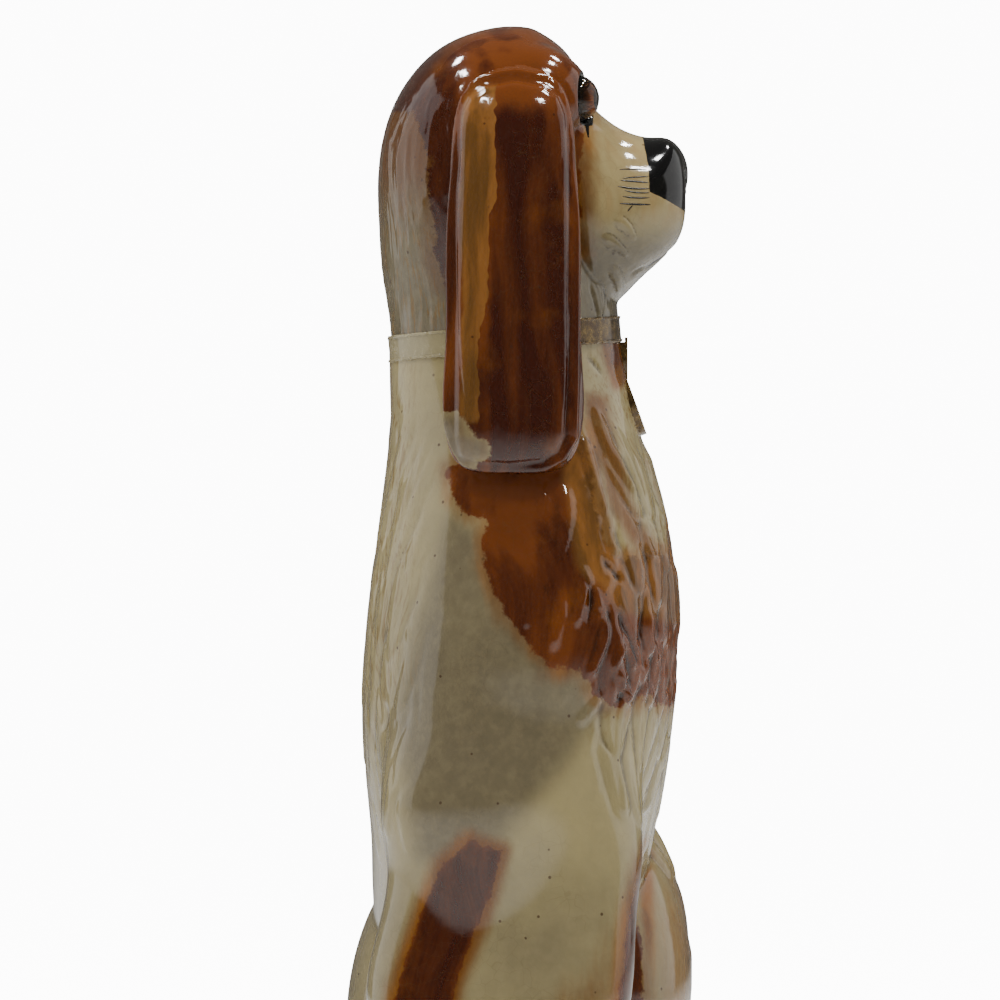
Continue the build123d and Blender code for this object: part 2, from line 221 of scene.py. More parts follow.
def melt(points, quads, weight, rounds):
    """Smooth one region by a weight from 0 to 1, without keeping its size, as a luted joint is wiped over."""
    near = quads[(weight[quads] > 0).any(axis=1)]
    used, local = np.unique(near, return_inverse=True)
    local = local.reshape(near.shape)
    part = points[used]
    pull = weight[used, None]
    count = np.bincount(local.ravel(), minlength=len(used))
    for _ in range(rounds):
        part = part + pull * (around(part, local, count) - part)
    points = points.copy()
    points[used] = part
    return points


def hollows(points, quads, normals, rounds, gain):
    """Glaze pools and painted shade in the hollows: each point's depth below its smoothed surroundings, times
    a gain, up to 1.
    """
    smooth = melt(points, quads, np.ones(len(points)), rounds)
    return np.clip(((smooth - points) * normals).sum(axis=1) * gain, 0, 1)


# Places as seen from the chest end, and marks laid on a flat view.
VIEW_SCALE = 0.305
VIEW_COLUMN = 520
VIEW_ROW = 28


def seen(*places):
    """Columns and rows of the view from the chest end, to millimetres across (Y) and up (Z)."""
    places = np.asarray(places, float)
    across = (VIEW_COLUMN - places[:, 0]) * VIEW_SCALE
    up = crown_height - (places[:, 1] - VIEW_ROW) * VIEW_SCALE
    return np.stack([across, up], 1)


def depth_in(flat, outline):
    """Distance to a closed outline, positive inside: the least distance to an edge, signed by crossings."""
    best = np.full(len(flat), 1e9)
    inside = np.zeros(len(flat), bool)
    for start, end in zip(outline, np.roll(outline, -1, axis=0)):
        run = end - start
        t = np.clip(((flat - start) @ run) / max(run @ run, 1e-9), 0, 1)
        best = np.minimum(best, np.hypot(*(flat - start - t[:, None] * run).T))
        crosses = (start[1] > flat[:, 1]) != (end[1] > flat[:, 1])
        slope = run[0] / (run[1] if abs(run[1]) > 1e-9 else 1e-9)
        inside ^= crosses & (flat[:, 0] < start[0] + (flat[:, 1] - start[1]) * slope)
    return np.where(inside, best, -best)


def painted(depth, reach=5.0):
    """A painted patch as a layer: a half on its outline, rising to one inside it."""
    return np.clip(0.5 + depth / (2 * reach), 0, 1)


def bend(path, count=14):
    """Places along a quadratic curve with three control places."""
    t = np.linspace(0, 1, count)[:, None]
    a, b, c = np.asarray(path, float)
    return (1 - t) ** 2 * a + 2 * t * (1 - t) * b + t**2 * c


def stroke(flat, path, width):
    """Distance from a bent stroke in half widths, and the share along it.

    It swells early and ends in a point.
    """
    line = bend(path)
    best = np.full(len(flat), 1e9)
    along = np.zeros(len(flat))
    pieces = len(line) - 1
    for k in range(pieces):
        run = line[k + 1] - line[k]
        off = flat - line[k]
        t = np.clip((off @ run) / max(run @ run, 1e-9), 0, 1)
        gap = np.hypot(*(off - t[:, None] * run).T) * np.sign(run[0] * off[:, 1] - run[1] * off[:, 0] + 1e-9)
        closer = np.abs(gap) < np.abs(best)
        best = np.where(closer, gap, best)
        along = np.where(closer, (k + t) / pieces, along)
    swell = np.sqrt(np.clip(along * 4, 0.04, 1)) * np.sqrt(np.clip((1 - along) * 1.6, 0.02, 1))
    return best / (width / 2 * swell), along


def locks(flat, weight, strokes):
    """Carved locks, each over the last: a rounded ridge with fine hairs along it and a groove beside it."""
    relief = np.zeros(len(flat))
    for path, width, height in strokes:
        path = np.asarray(path, float)
        low, high = path.min(axis=0) - width, path.max(axis=0) + width
        near = np.flatnonzero((weight > 0) & (flat >= low).all(axis=1) & (flat <= high).all(axis=1))
        if not len(near):
            continue
        across, along = stroke(flat[near], path, width)
        ends = ease(along, 0, 0.25) * ease(along, 1, 0.85)
        ridge = np.clip(1 - across**2, 0, 1) ** 0.8 + 0.13 * np.cos(3 * pi * across)
        groove = np.exp(-(((np.abs(across) - 1.1) / 0.35) ** 2))
        cover = ease(np.abs(across), 1.5, 1.0) * ends
        relief[near] += cover * (height * ridge - 0.2 * abs(height) * groove - relief[near])
    return relief * weight


# Pieces. At the parting, an open part turns in by the lip.
LIP = 2.5
EARTHENWARE = "glazed_earthenware"


def layer(first, second, third):
    """Three values at each point, as one attribute."""
    return np.stack(np.broadcast_arrays(first, second, third), 1)


def cap(mesh, normals):
    """Close an open part out of sight: a lip turned straight in, and a wall across it."""
    bm = bmesh.new()
    bm.from_mesh(mesh)
    rim = [edge for edge in bm.edges if edge.is_boundary]
    lip = bmesh.ops.extrude_edge_only(bm, edges=rim)["geom"]
    bm.verts.index_update()
    count = len(normals)
    inner = [vert for vert in lip if isinstance(vert, bmesh.types.BMVert)]
    towards = 1 if np.mean([vert.co.y for vert in bm.verts]) > parting_y * MM else -1
    for vert in inner:
        outer = next(edge.other_vert(vert) for edge in vert.link_edges if edge.other_vert(vert).index < count)
        vert.co -= Vector(normals[outer.index]) * LIP * MM
        vert.co.y = (parting_y + towards * LIP / 2) * MM
    wall_edges = [edge for edge in lip if isinstance(edge, bmesh.types.BMEdge)]
    bmesh.ops.triangle_fill(bm, use_beauty=False, edges=wall_edges, normal=(0, -towards, 0))
    bm.to_mesh(mesh)
    bm.free()
    whole = np.empty(len(mesh.vertices) * 3, np.float32)
    mesh.vertex_normals.foreach_get("vector", whole)
    whole = whole.reshape(-1, 3)
    whole[:count] = normals
    return whole


def piece(name, points, quads, normals, material, slot, replaced, layers, closed=True):
    """A mesh object from points in millimetres and quads, with its layers, riding on the one body.

    It keeps to the CAD box.
    """
    points = np.clip(points, np.array(cad_low) / MM, np.array(cad_high) / MM)
    mesh = bpy.data.meshes.new(name)
    mesh.vertices.add(len(points))
    mesh.vertices.foreach_set("co", (points * MM).astype(np.float32).ravel())
    mesh.loops.add(quads.size)
    mesh.loops.foreach_set("vertex_index", quads.astype(np.int32).ravel())
    mesh.polygons.add(len(quads))
    mesh.polygons.foreach_set("loop_start", np.arange(0, quads.size, quads.shape[1], dtype=np.int32))
    mesh.update(calc_edges=True)
    for label, values in layers.items():
        attribute = mesh.attributes.new(label, "FLOAT_VECTOR", "POINT")
        attribute.data.foreach_set("vector", values.astype(np.float32).ravel())
    if not closed:
        normals = cap(mesh, normals)
    mesh.polygons.foreach_set("use_smooth", np.ones(len(mesh.polygons), bool))
    if normals is not None:
        mesh.normals_split_custom_set_from_vertices(normals.astype(np.float32))
    mesh.materials.append(material)
    obj = placed(name, mesh)
    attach(obj, "root")
    if replaced:
        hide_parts(*replaced)
    return obj


def split(name, points, quads, normals, layers, front, back):
    """Two closed parts of one glazed skin, shared out at the parting.

    They keep its normals, so no seam shows.
    """
    behind = points[quads].mean(axis=1)[:, 1] > parting_y
    for suffix, mine, replaced in (("_front", quads[~behind], front), ("_back", quads[behind], back)):
        used, local = np.unique(mine, return_inverse=True)
        faces = local.reshape(mine.shape)
        own = {label: values[used] for label, values in layers.items()}
        shape = (points[used], faces, normals[used])
        piece(name + suffix, *shape, GLAZE, EARTHENWARE, replaced, own, closed=False)


# Shader recipes.
def tint(code):
    """A colour written as on screen, to the linear values a shader takes."""
    values = np.array([int(code[k : k + 2], 16) for k in (0, 2, 4)]) / 255
    return (*np.where(values <= 0.04045, values / 12.92, ((values + 0.055) / 1.055) ** 2.4), 1)


def put(tree, kind, values=(), **settings):
    """Add a shader node. Values are numbers or other nodes' outputs, by socket."""
    node = tree.nodes.new("ShaderNode" + kind)
    for key, value in settings.items():
        setattr(node, key, value)
    for key, value in dict(values).items():
        if isinstance(value, bpy.types.NodeSocket):
            tree.links.new(value, node.inputs[key])
        else:
            node.inputs[key].default_value = value
    return node


def math(tree, operation, first, second=0.0, third=0.0):
    """One sum on up to three values."""
    return put(tree, "Math", {0: first, 1: second, 2: third}, operation=operation).outputs[0]


def between(tree, value, low, high, to_low=0.0, to_high=1.0):
    """A soft step of a value."""
    values = {"Value": value, "From Min": low, "From Max": high, "To Min": to_low, "To Max": to_high}
    return put(tree, "MapRange", values, interpolation_type="SMOOTHSTEP").outputs[0]


def centred(tree, value, gain, base):
    """A value's swing about a half, times a gain, on a base."""
    return math(tree, "MULTIPLY_ADD", math(tree, "SUBTRACT", value, 0.5), gain, base)


def blend(tree, share, first, second, kind="MIX"):
    """Two colours mixed by a share of the second."""
    return put(tree, "Mix", {0: share, 6: first, 7: second}, data_type="RGBA", blend_type=kind).outputs[2]


def veil(tree, mask, gain, under, code):
    """A colour laid over another by a mask times a gain."""
    return blend(tree, math(tree, "MULTIPLY", mask, gain), under, tint(code))


def noise(tree, vector, scale, detail=3.0, rough=0.5):
    """Cloudy noise from 0 to 1."""
    values = {"Vector": vector, "Scale": scale, "Detail": detail, "Roughness": rough}
    return put(tree, "TexNoise", values).outputs[0]


def group(name, inputs, build):
    """A node group with named inputs and one value out."""
    tree = bpy.data.node_groups.new(name, "ShaderNodeTree")
    for label, kind, value in inputs:
        socket = tree.interface.new_socket(name=label, in_out="INPUT", socket_type="NodeSocket" + kind)
        if kind == "Float":
            socket.default_value = value
    tree.interface.new_socket(name="mask", in_out="OUTPUT", socket_type="NodeSocketFloat")
    source = tree.nodes.new("NodeGroupInput").outputs
    target = tree.nodes.new("NodeGroupOutput")
    tree.links.new(build(tree, source), target.inputs[0])
    return tree


def use(tree, which, **values):
    """Place a node group in a material, with its own values."""
    return put(tree, "Group", values, node_tree=which).outputs[0]


def blank(name):
    """A material with an empty node tree, and that tree."""
    material = bpy.data.materials.new(name)
    material.use_nodes = True
    material.node_tree.nodes.clear()
    return material, material.node_tree


def surface(tree, values):
    """End a material in one Principled surface."""
    shader = put(tree, "BsdfPrincipled", values)
    tree.links.new(shader.outputs[0], put(tree, "OutputMaterial").inputs[0])


def parts(tree, name):
    """The three values of a piece's own attribute."""
    colour = put(tree, "Attribute", attribute_name=name).outputs["Color"]
    return put(tree, "SeparateColor", {0: colour}).outputs


def ragged_build(tree, source):
    """A painted edge: the layer's value pushed about by noise, then cut crisply."""
    push = noise(tree, source["vector"], source["scale"], 5.0, 0.6)
    pushed = centred(tree, push, source["reach"], source["layer"])
    low = math(tree, "SUBTRACT", 0.5, source["softness"])
    high = math(tree, "ADD", 0.5, source["softness"])
    return between(tree, pushed, low, high)


def crazing_build(tree, source):
    """Fine cracks in the glaze: the borders of warped cells, broken up where noise is low."""
    warp = put(tree, "TexNoise", {"Vector": source["vector"], "Scale": 160.0, "Detail": 2.0}).outputs["Color"]
    shift = put(tree, "VectorMath", {0: warp, "Scale": 0.004}, operation="SCALE").outputs[0]
    shifted = put(tree, "VectorMath", {0: source["vector"], 1: shift}, operation="ADD").outputs[0]
    cells = put(tree, "TexVoronoi", {"Vector": shifted, "Scale": source["scale"]}, feature="DISTANCE_TO_EDGE")
    line = between(tree, cells.outputs["Distance"], 0.0, 0.035, 1.0, 0.0)
    return math(tree, "MULTIPLY", line, between(tree, noise(tree, source["vector"], 45.0), 0.42, 0.62))


def specks_build(tree, source):
    """Iron specks: small round spots in a share of the cells."""
    cells = put(tree, "TexVoronoi", {"Vector": source["vector"], "Scale": source["scale"]}, feature="F1")
    lot = put(tree, "SeparateColor", {0: cells.outputs["Color"]}).outputs[0]
    chosen = between(tree, lot, source["share"], math(tree, "ADD", source["share"], 0.02), 1.0, 0.0)
    spot = between(tree, cells.outputs["Distance"], 0.12, 0.28, 1.0, 0.0)
    return math(tree, "MULTIPLY", spot, chosen)


RAGGED = group(
    "ragged edge",
    (
        ("layer", "Float", 0.0), ("vector", "Vector", None), ("scale", "Float", 200.0),
        ("reach", "Float", 0.4), ("softness", "Float", 0.1)
    ),
    ragged_build
)
CRAZING = group("crazing", (("vector", "Vector", None), ("scale", "Float", 220.0)), crazing_build)
SPECKS = group(
    "specks", (("vector", "Vector", None), ("scale", "Float", 400.0), ("share", "Float", 0.05)),
    specks_build
)

CREAM = tint("b8a877")
# Greys the cream for stains, and for painted shade and painted reflection.
STAIN_AND_SHADE = tint("6d634c")
OCHRE = tint("8e5a1e")
RUSSET = tint("6e3812")
DEEP = tint("3a1203")
BLACK = tint("070606")


def glazed(name, ripple):
    """Painted cream earthenware under a clear, slightly crazed glaze."""
    material, tree = blank(name)
    place = put(tree, "TexCoord").outputs["Object"]
    russet, ochre, dark = parts(tree, "paint")
    glaze_pool_and_shade, stain_and_shade, black = parts(tree, "clay")
    thin, combed, _ = parts(tree, "tone")
    flow = put(tree, "Attribute", attribute_name="flow").outputs["Vector"]
    hair = noise(tree, flow, 900.0, 4.0, 0.6)
    cloud = noise(tree, place, 38.0, 4.0, 0.55)
    mottle = noise(tree, place, 260.0, 3.0, 0.6)
    # Cream ground, greyed by stains and by painted shade and painted reflection, and where glaze pools in the
    # hollows, which also paints shade there.
    greyed = between(tree, math(tree, "MULTIPLY_ADD", cloud, 0.5, stain_and_shade), 0.15, 1.15)
    ground = blend(tree, greyed, CREAM, STAIN_AND_SHADE)
    ground = veil(tree, between(tree, mottle, 0.35, 0.75), 0.16, ground, "a49672")
    # Ochre sprayed thin, then russet brushed on.
    ochre_mask = use(tree, RAGGED, layer=ochre, vector=flow, scale=240.0, reach=0.5, softness=0.45)
    ochre_colour = blend(tree, dark, OCHRE, tint("4e2c0c"))
    comb = between(tree, noise(tree, flow, 760.0, 3.0, 0.6), 0.48, 0.68)
    ground = veil(tree, math(tree, "MULTIPLY", comb, combed), 0.75, ground, "7a5c2c")
    colour = blend(tree, ochre_mask, ground, ochre_colour)
    russet_mask = use(tree, RAGGED, layer=russet, vector=place, scale=230.0, reach=0.75, softness=0.07)
    streak = noise(tree, flow, 190.0, 3.0, 0.55)
    streaked = centred(tree, streak, 0.85, centred(tree, hair, 0.22, dark))
    russet_colour = blend(tree, between(tree, streaked, 0.05, 0.95), RUSSET, DEEP)
    russet_colour = veil(tree, between(tree, cloud, 0.55, 0.8), 0.5, russet_colour, "8a5014")
    thinned = between(tree, centred(tree, streak, 0.45, thin), 0.3, 0.7)
    thin_colour = blend(tree, between(tree, streak, 0.35, 0.65), tint("8c5b28"), tint("66441c"))
    russet_colour = blend(tree, thinned, russet_colour, thin_colour)
    colour = blend(tree, russet_mask, colour, russet_colour)
    # Darker where glaze pools in the hollows, which also paints shade into them.
    colour = blend(tree, between(tree, glaze_pool_and_shade, 0.05, 0.9, 0.0, 0.75), colour, tint("3c2a14"), "MULTIPLY")
    cracks = use(tree, CRAZING, vector=place, scale=230.0)
    colour = veil(tree, cracks, 0.16, colour, "5a4628")
    specks = use(tree, SPECKS, vector=place, scale=420.0, share=0.02)
    colour = veil(tree, specks, 0.75, colour, "3a1d0c")
    black_mask = use(tree, RAGGED, layer=black, vector=place, scale=500.0, reach=0.2, softness=0.1)
    colour = blend(tree, black_mask, colour, BLACK)
    # The glaze surface: slow ripple, fine orange peel, and cracks that only just catch the light.
    slow = noise(tree, place, 70.0, 2.0)
    peel = noise(tree, place, 520.0, 2.0)
    height = math(tree, "MULTIPLY_ADD", peel, 0.12, slow)
    height = math(tree, "MULTIPLY_ADD", cracks, -0.03, height)
    height = math(tree, "MULTIPLY_ADD", hair, 0.07, height)
    bump = put(tree, "Bump", {"Strength": ripple, "Distance": 0.0010, "Height": height}).outputs[0]
    surface(tree, {"Base Color": colour, "Roughness": 0.09, "IOR": 1.5, "Normal": bump,
                   "Coat Weight": 0.35, "Coat Roughness": 0.03, "Specular IOR Level": 0.5})
    return material


def plain(name, first, second, scale, roughness, bump):
    """A simple finish: two colours clouded together, with matching roughness and grain."""
    material, tree = blank(name)
    place = put(tree, "TexCoord").outputs["Object"]
    cloud = noise(tree, place, scale, 5.0, 0.6)
    share = between(tree, cloud, 0.35, 0.65)
    colour = blend(tree, share, first, second)
    rough = between(tree, cloud, 0.3, 0.7, roughness * 0.8, roughness * 1.2)
    normal = put(tree, "Bump", {"Strength": bump, "Distance": 0.0004, "Height": cloud}).outputs[0]
    surface(tree, {"Base Color": colour, "Roughness": rough, "Normal": normal})
    return material


def worn_gilt(name):
    """Gilding on the band, rubbed down to the cream glaze towards the back of the neck."""
    material, tree = blank(name)
    place = put(tree, "TexCoord").outputs["Object"]
    back = between(tree, put(tree, "SeparateXYZ", {0: place}).outputs[1], -0.012, 0.03)
    rubbed = use(tree, RAGGED, layer=back, vector=place, scale=260.0, reach=0.9, softness=0.3)
    cloud = noise(tree, place, 420.0, 5.0, 0.65)
    gold = blend(tree, between(tree, cloud, 0.35, 0.7), tint("4a3518"), tint("7d6432"))
    colour = blend(tree, rubbed, gold, blend(tree, cloud, tint("8f8260"), tint("b0a47c")))
    metal = math(tree, "MULTIPLY", math(tree, "SUBTRACT", 1.0, rubbed), 0.45)
    normal = put(tree, "Bump", {"Strength": 0.25, "Distance": 0.0004, "Height": cloud}).outputs[0]
    surface(tree, {"Base Color": colour, "Roughness": between(tree, cloud, 0.3, 0.7, 0.14, 0.3),
                   "Metallic": metal, "Normal": normal, "Coat Weight": 0.5})
    return material


GLAZE = glazed("painted glaze", ripple=0.16)
GILT = worn_gilt("worn gilt band")
CLAY = plain("bare clay", tint("b9a88a"), tint("a08c6c"), 180.0, 0.85, 0.6)
PUPIL = plain("black pupil", tint("050505"), tint("0a0807"), 500.0, 0.2, 0.1)


def strands(points, stretch, sway):
    """Places in hair: heights are squeezed and the rest sways slowly, so that noise cells become strands."""
    swing = np.stack([lattice(points + shift, 26.0) - 0.5 for shift in (0.0, 57.0)], 1) * sway
    flowing = points.copy()
    flowing[:, :2] += swing
    flowing[:, 2] /= stretch
    return flowing


def ridged(points, pitch):
    """Hair relief from -0.5 to 0.5: sharp crests where smooth noise passes its middle."""
    first = 1 - np.abs(2 * lattice(points, pitch) - 1)
    second = 1 - np.abs(2 * lattice(points + 91.0, pitch * 0.45) - 1)
    return 0.7 * first + 0.3 * second - 0.62


def shaggy(low_x, high_x, low_z, high_z, drop, gap, lean, height):
    """Rows of overlapping locks between two places across and two heights, staggered and seeded."""
    rows = []
    for row, z in enumerate(np.arange(low_z, high_z, drop)):
        for x in np.arange(low_x + (row % 2) * gap / 2, high_x, gap):
            start = np.array([x, z]) + rng.uniform(-1.5, 1.5, 2)
            fall = drop * rng.uniform(1.5, 2.1)
            side = lean * fall + rng.uniform(-2.0, 2.0)
            curl = rng.uniform(-2.5, 2.5)
            rows.append(((start, start + (side * 0.5 + curl, -fall * 0.55), start + (side, -fall)),
                         gap * rng.uniform(1.0, 1.4), height * rng.uniform(0.6, 1.2)))
    return rows


# The head.
NECK_PLUG = ("disc", head_x, 4.7, neck_height, 31, 33, 6)
HEAD_GRAIN = 0.64
HEAD_HAIR, HEAD_HAIR_PITCH = 0.5, 3.4
MOUTH_DEPTH = 0.9
WHORL_HEIGHT, WHORL_PITCH = 0.3, 5.0
HEAD_UNEVEN, HEAD_UNEVEN_PITCH = 0.5, 14.0
points, quads = outer_only(*skin(["head_front_half", "head_back_half"], [NECK_PLUG], HEAD_GRAIN))
points = fill(soften(points, quads, 4), quads, 5)
x, y, z = points.T
EYES = [sum(corners(side + "_eye_glass")) / 2 for side in ("left", "right")]
around_eye = 0
for eye in EYES:
    reach = np.hypot(x - eye[0], z - eye[2])
    around_eye = np.maximum(around_eye, ease(reach, 8.6, 9.6) * ease(reach, 26, 20) * ease(y, 25, 10))
points = melt(points, quads, around_eye, 25)
normals = facing(points, quads)
x, y, z = points.T
profile = points[:, 1:]
side_on = ease(np.abs(normals[:, 0]), 0.15, 0.5)
coat = ease(y, -24, -8) * ease(z, 332, 312)
flow = strands(points, 7.0, 9.0)
NOSE = seen(
    (640, 124), (676, 130), (700, 140), (700, 218), (680, 218), (660, 215), (652, 206), (649, 195),
    (648, 170), (645, 152)
)
NOSE_WIDE, NOSE_HIGH, NOSE_MIDDLE = 22.0, 12.6, 300.6
MOUTH = [((0, 291), (0, 285), (0, 279)), ((0, 278), (5, 270), (12, 271)), ((0, 278), (-5, 270), (-12, 271))]
nose_round = (np.abs(x - head_x) / NOSE_WIDE) ** 2.4 + (np.abs(z - NOSE_MIDDLE) / NOSE_HIGH) ** 2.4
nose_depth = np.minimum(depth_in(profile, NOSE), (1 - nose_round) * 5)
front = points[:, [0, 2]] - (head_x, 0)
on_front = ease(-normals[:, 1], 0.1, 0.4) * ease(y, -34, -42)
mouth = np.zeros(len(points))
for path in MOUTH:
    across, along = stroke(front, path, 5.5 if path[0][1] > 285 else 2.6)
    mouth = np.maximum(mouth, np.exp(-across**2) * on_front)
CHEEK = [
    ((-27, 272), (-31, 268), (-30, 261)), ((-24, 280), (-29, 279), (-33, 274)),
    ((-22, 268), (-25, 262), (-24, 255)), ((-33, 268), (-38, 268), (-42, 274)),
    ((-28, 286), (-33, 284), (-35, 279))
]
cheek = locks(profile, side_on * ease(y, -14, -22), [(path, 4.0, 0.7) for path in CHEEK])
whorled = ease(profile[:, 0], -12, -24) * ease(profile[:, 1], 284, 274) * ease(profile[:, 0], -50, -44)
relief = HEAD_HAIR * coat * ridged(flow, HEAD_HAIR_PITCH) + cheek - MOUTH_DEPTH * mouth
relief = relief + WHORL_HEIGHT * whorled * ridged(points, WHORL_PITCH)
relief += HEAD_UNEVEN * (lattice(points, HEAD_UNEVEN_PITCH) - 0.5)
points = points + normals * relief[:, None]
points = soften(points, quads, 1)
normals = facing(points, quads)
x, y, z = points.T
# Hollow depth: glaze pooled in the creases, and painted shade there.
glaze_pool_and_shade = hollows(points, quads, normals, 8, 2.2)
DOME = seen(
    (380, 20), (600, 20), (606, 95), (592, 110), (584, 128), (581, 170), (578, 250), (470, 296),
    (446, 282), (438, 262), (432, 205), (430, 160), (416, 118), (400, 112), (380, 110)
)
dome = depth_in(profile, DOME)
tinted = painted(dome)
muzzle_glow = ease(y, -32, -16) * ease(y, 6, -8) * ease(z, 272, 290) * 0.85
muzzle_glow = np.maximum(muzzle_glow, 0.34 * ease(y, -8, -16) * ease(z, 276, 290))
nape_fade = 0.95 * ease(y, 8, 26) * ease(z, 262, 318)
black = np.maximum(ease(nose_depth, -0.4, 0.4), ease(mouth, 0.35, 0.7))
for eye in EYES:
    rim = np.hypot(x - eye[0], z - eye[2])
    black = np.maximum(black, ease(rim, 8.6, 8.0) * ease(y, -8, -12) * ease(y, -23.5, -21))
across, along = stroke(profile, seen((586, 118), (587, 129), (588, 140)), 1.8)
lash = np.exp(-across**2)
black = np.maximum(black, 0.8 * lash * ease(np.abs(x - head_x), 5, 9))
fade = np.maximum(np.maximum(0.6 * ease(dome, -10, 0), nape_fade), muzzle_glow)
deep = np.maximum(ease(lattice(flow + 13, 6), 0.4, 0.7) * 0.5, 0.8 * ease(y, 10, 25))
# Painted shade under the muzzle, added to the darkening of the hollows.
glaze_pool_and_muzzle_shade = np.maximum(glaze_pool_and_shade, 0.3 * ease(y, -12, -22) * ease(z, 290, 276))
# Greyer on the lower head, as painted shade, and greyer towards the back of the head.
stain_and_shade_layer = np.maximum(ease(z, 296, 268), 0.8 * ease(y, 10, 30))
head_layers = {
    "paint": layer(tinted, fade, deep),
    "clay": layer(glaze_pool_and_muzzle_shade, stain_and_shade_layer, black),
    "tone": layer(0.0, coat, coat),
    "flow": flow * MM,
}
head_shape = BVHTree.FromPolygons(points.tolist(), quads.tolist())
split("glazed_head", points, quads, normals, head_layers, ["head_front_half"], ["head_back_half"])

# Fine painted strokes, raised a hair's breadth over the glaze: three places in the view and a half width.
STROKE_RISE = 0.12
WHISKERS = [
    ((646, 171), (632, 170), (619, 171), 0.26), ((648, 178), (636, 178), (622, 180), 0.24),
    ((648, 184), (636, 183), (620, 182), 0.3), ((649, 190), (634, 191), (617, 188), 0.3),
    ((649, 194), (636, 195), (624, 192), 0.24), ((649, 199), (636, 200), (622, 198), 0.26),
    ((650, 206), (636, 206), (619, 205), 0.3), ((632, 207), (629, 210), (627, 213), 0.22)
]


def whiskers(name, side):
    """Thin enamel strokes on one side of the head: a flat oval carried along a path, with tapered ends."""
    steps, sides = 20, 8
    turn = np.arange(sides) * 2 * pi / sides
    all_points, all_quads = [], []
    for *path, half in WHISKERS:
        line = bend(seen(*path), steps)
        starts = [Vector((head_x + side * 60, y, z)) for y, z in line]
        hits = [head_shape.ray_cast(start, Vector((-side, 0, 0))) for start in starts]
        middle = np.array([hit[0] for hit in hits])
        out = np.array([hit[1] for hit in hits])
        run = np.gradient(middle, axis=0)
        run /= np.linalg.norm(run, axis=1)[:, None]
        across = np.cross(run, out)
        taper = np.sin(np.linspace(0.03, pi - 0.03, steps)) ** 0.4
        flat = across[:, None] * np.cos(turn)[:, None] * half
        oval = flat + out[:, None] * np.sin(turn)[:, None] * STROKE_RISE
        ring = middle[:, None] + taper[:, None, None] * oval
        first = len(all_points) * steps * sides
        index = first + np.arange(steps * sides).reshape(steps, sides)
        after = np.roll(index, -1, axis=1)
        all_quads.append(np.stack([index[:-1], after[:-1], after[1:], index[1:]], axis=2).reshape(-1, 4))
        all_points.append(ring.reshape(-1, 3))
    points, quads = np.concatenate(all_points), np.concatenate(all_quads)
    if side > 0:
        quads = quads[:, ::-1]
    obj = piece(name, points, quads, None, PUPIL, EARTHENWARE, [], {})
    bm = bmesh.new()
    bm.from_mesh(obj.data)
    bmesh.ops.holes_fill(bm, edges=[edge for edge in bm.edges if edge.is_boundary], sides=0)
    bmesh.ops.recalc_face_normals(bm, faces=bm.faces)
    bm.to_mesh(obj.data)
    bm.free()


whiskers("whiskers_right", -1)
whiskers("whiskers_left", 1)

# The body, forelegs and tail, cast as one.
VENT_PLUG = ("disc", 48, 0, 3, 10, 10, 6)
WEB_BETWEEN_LEGS = ("disc", -66, 15, 52, 14, 12, 104)
CHEST_INTO_LEGS = ("ball", -57, 3, 108, 32, 40, 50)
BODY_GRAIN = 1.0
BODY_HAIR, BODY_HAIR_PITCH = 0.35, 4.2
BODY_UNEVEN, BODY_UNEVEN_PITCH = 0.7, 22.0
BODY = ["body_front_half", "body_back_half", "left_foreleg", "right_foreleg", "tail"]
points, quads = outer_only(*skin(BODY, [VENT_PLUG, NECK_PLUG, WEB_BETWEEN_LEGS, CHEST_INTO_LEGS], BODY_GRAIN))
points = fill(soften(points, quads, 4), quads, 8)
x, y, z = points.T
merge = ease(x, -38, -60) * ease(z, 6, 40) * ease(z, 175, 140)
points = melt(points, quads, merge, 160)
normals = facing(points, quads)
x, y, z = points.T
chest = points[:, 1:]
flank = points[:, [0, 2]]
to_chest = ease(-normals[:, 0], 0.2, 0.6)
to_display = ease(-normals[:, 1], 0.5, 0.8)
to_reverse = ease(normals[:, 1], 0.6, 0.9)
flow = strands(points, 8.0, 16.0)
CHEST_LOCKS = [
    ((592, 400), (606, 455), (636, 502), 13, 1.0), ((612, 420), (628, 470), (642, 500), 12, 0.8),
    ((578, 420), (592, 480), (606, 520), 12, 1.0), ((612, 510), (600, 545), (622, 556), 12, 0.9),
    ((632, 520), (640, 545), (656, 565), 12, 0.8), ((650, 500), (658, 540), (662, 580), 11, 0.7),
    ((562, 480), (574, 520), (556, 566), 14, 1.0), ((540, 480), (552, 520), (538, 560), 12, 0.7),
    ((585, 562), (584, 595), (573, 628), 10, 1.3), ((607, 612), (602, 648), (586, 678), 11, 1.6),
    ((620, 627), (628, 652), (631, 668), 8, 1.2), ((648, 606), (642, 630), (650, 658), 9, 1.5),
    ((661, 600), (668, 625), (664, 655), 8, 1.3), ((617, 664), (618, 684), (627, 702), 14, 1.8),
    ((645, 655), (640, 680), (648, 704), 12, 1.2), ((560, 590), (562, 620), (550, 650), 14, 0.8),
    ((530, 560), (534, 600), (524, 630), 14, 0.6), ((603, 690), (592, 706), (575, 724), 9, 0.8),
    ((486, 494), (485, 550), (487, 602), 4, 0.25), ((660, 660), (664, 690), (656, 715), 9, 0.9),
    ((622, 640), (612, 655), (610, 672), 8, 1.0), ((575, 560), (596, 590), (600, 612), 9, 0.8),
]
